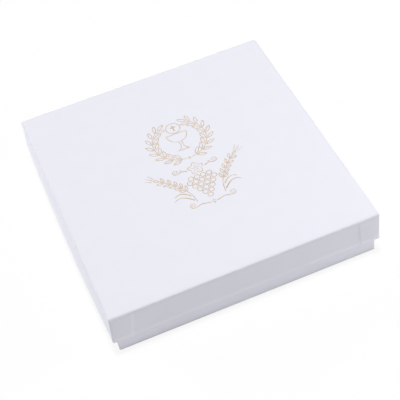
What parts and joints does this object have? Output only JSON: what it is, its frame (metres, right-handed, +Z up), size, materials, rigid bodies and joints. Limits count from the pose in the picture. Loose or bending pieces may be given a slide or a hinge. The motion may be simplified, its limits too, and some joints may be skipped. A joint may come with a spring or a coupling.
{
  "type": "necklace box",
  "caption": "Shallow rigid gift box for a necklace: paper-wrapped board base with a slit foam pad and a telescoping lift-off lid with a gold foil ornament.",
  "frame": {"origin": "middle of the underside of the base, on the surface that the box stands on", "axes": "+Z up through the lid, +Y to the back (the top of the foil ornament), -Y to the front wall that the picture shows, +X to the right seen from the front"},
  "size_m": [0.16, 0.17, 0.032],
  "materials": {
    "wrap_paper": "fine white uncoated wrap paper with a faint tooth",
    "liner_paper": "smooth matt white lining paper",
    "grey_board": "matt recycled grey board",
    "stay_tape": "brown kraft paper stay tape",
    "gold_foil": "hot-stamped pale gold foil",
    "pad_foam": "open-cell polyurethane foam",
    "flocked_cloth": "short-pile white flocked cloth"
  },
  "bodies": {
    "base": {"base_wrap": "wrap_paper", "base_board": "grey_board", "base_liner": "liner_paper", "base_bottom_sheet": "wrap_paper", "base_corner_stay_front_left": "stay_tape", "base_corner_stay_front_right": "stay_tape", "base_corner_stay_back_right": "stay_tape", "base_corner_stay_back_left": "stay_tape"},
    "lid": {"lid_wrap": "wrap_paper", "lid_board": "grey_board", "lid_liner": "liner_paper", "lid_corner_stay_front_left": "stay_tape", "lid_corner_stay_front_right": "stay_tape", "lid_corner_stay_back_right": "stay_tape", "lid_corner_stay_back_left": "stay_tape", "foil_wreath": "gold_foil", "foil_chalice": "gold_foil", "foil_scrolls": "gold_foil", "foil_wheat": "gold_foil", "foil_grapes": "gold_foil"},
    "insert": {"insert_foam": "pad_foam", "insert_face": "flocked_cloth"}
  },
  "joints": [
    {"name": "lid_lift", "type": "slide", "parent": "base", "child": "lid", "axis": [0, 0, 1], "range_m": [0, 0.08]},
    {"name": "insert_lift", "type": "slide", "parent": "base", "child": "insert", "axis": [0, 0, 1], "range_m": [0, 0.012]}
  ]
}
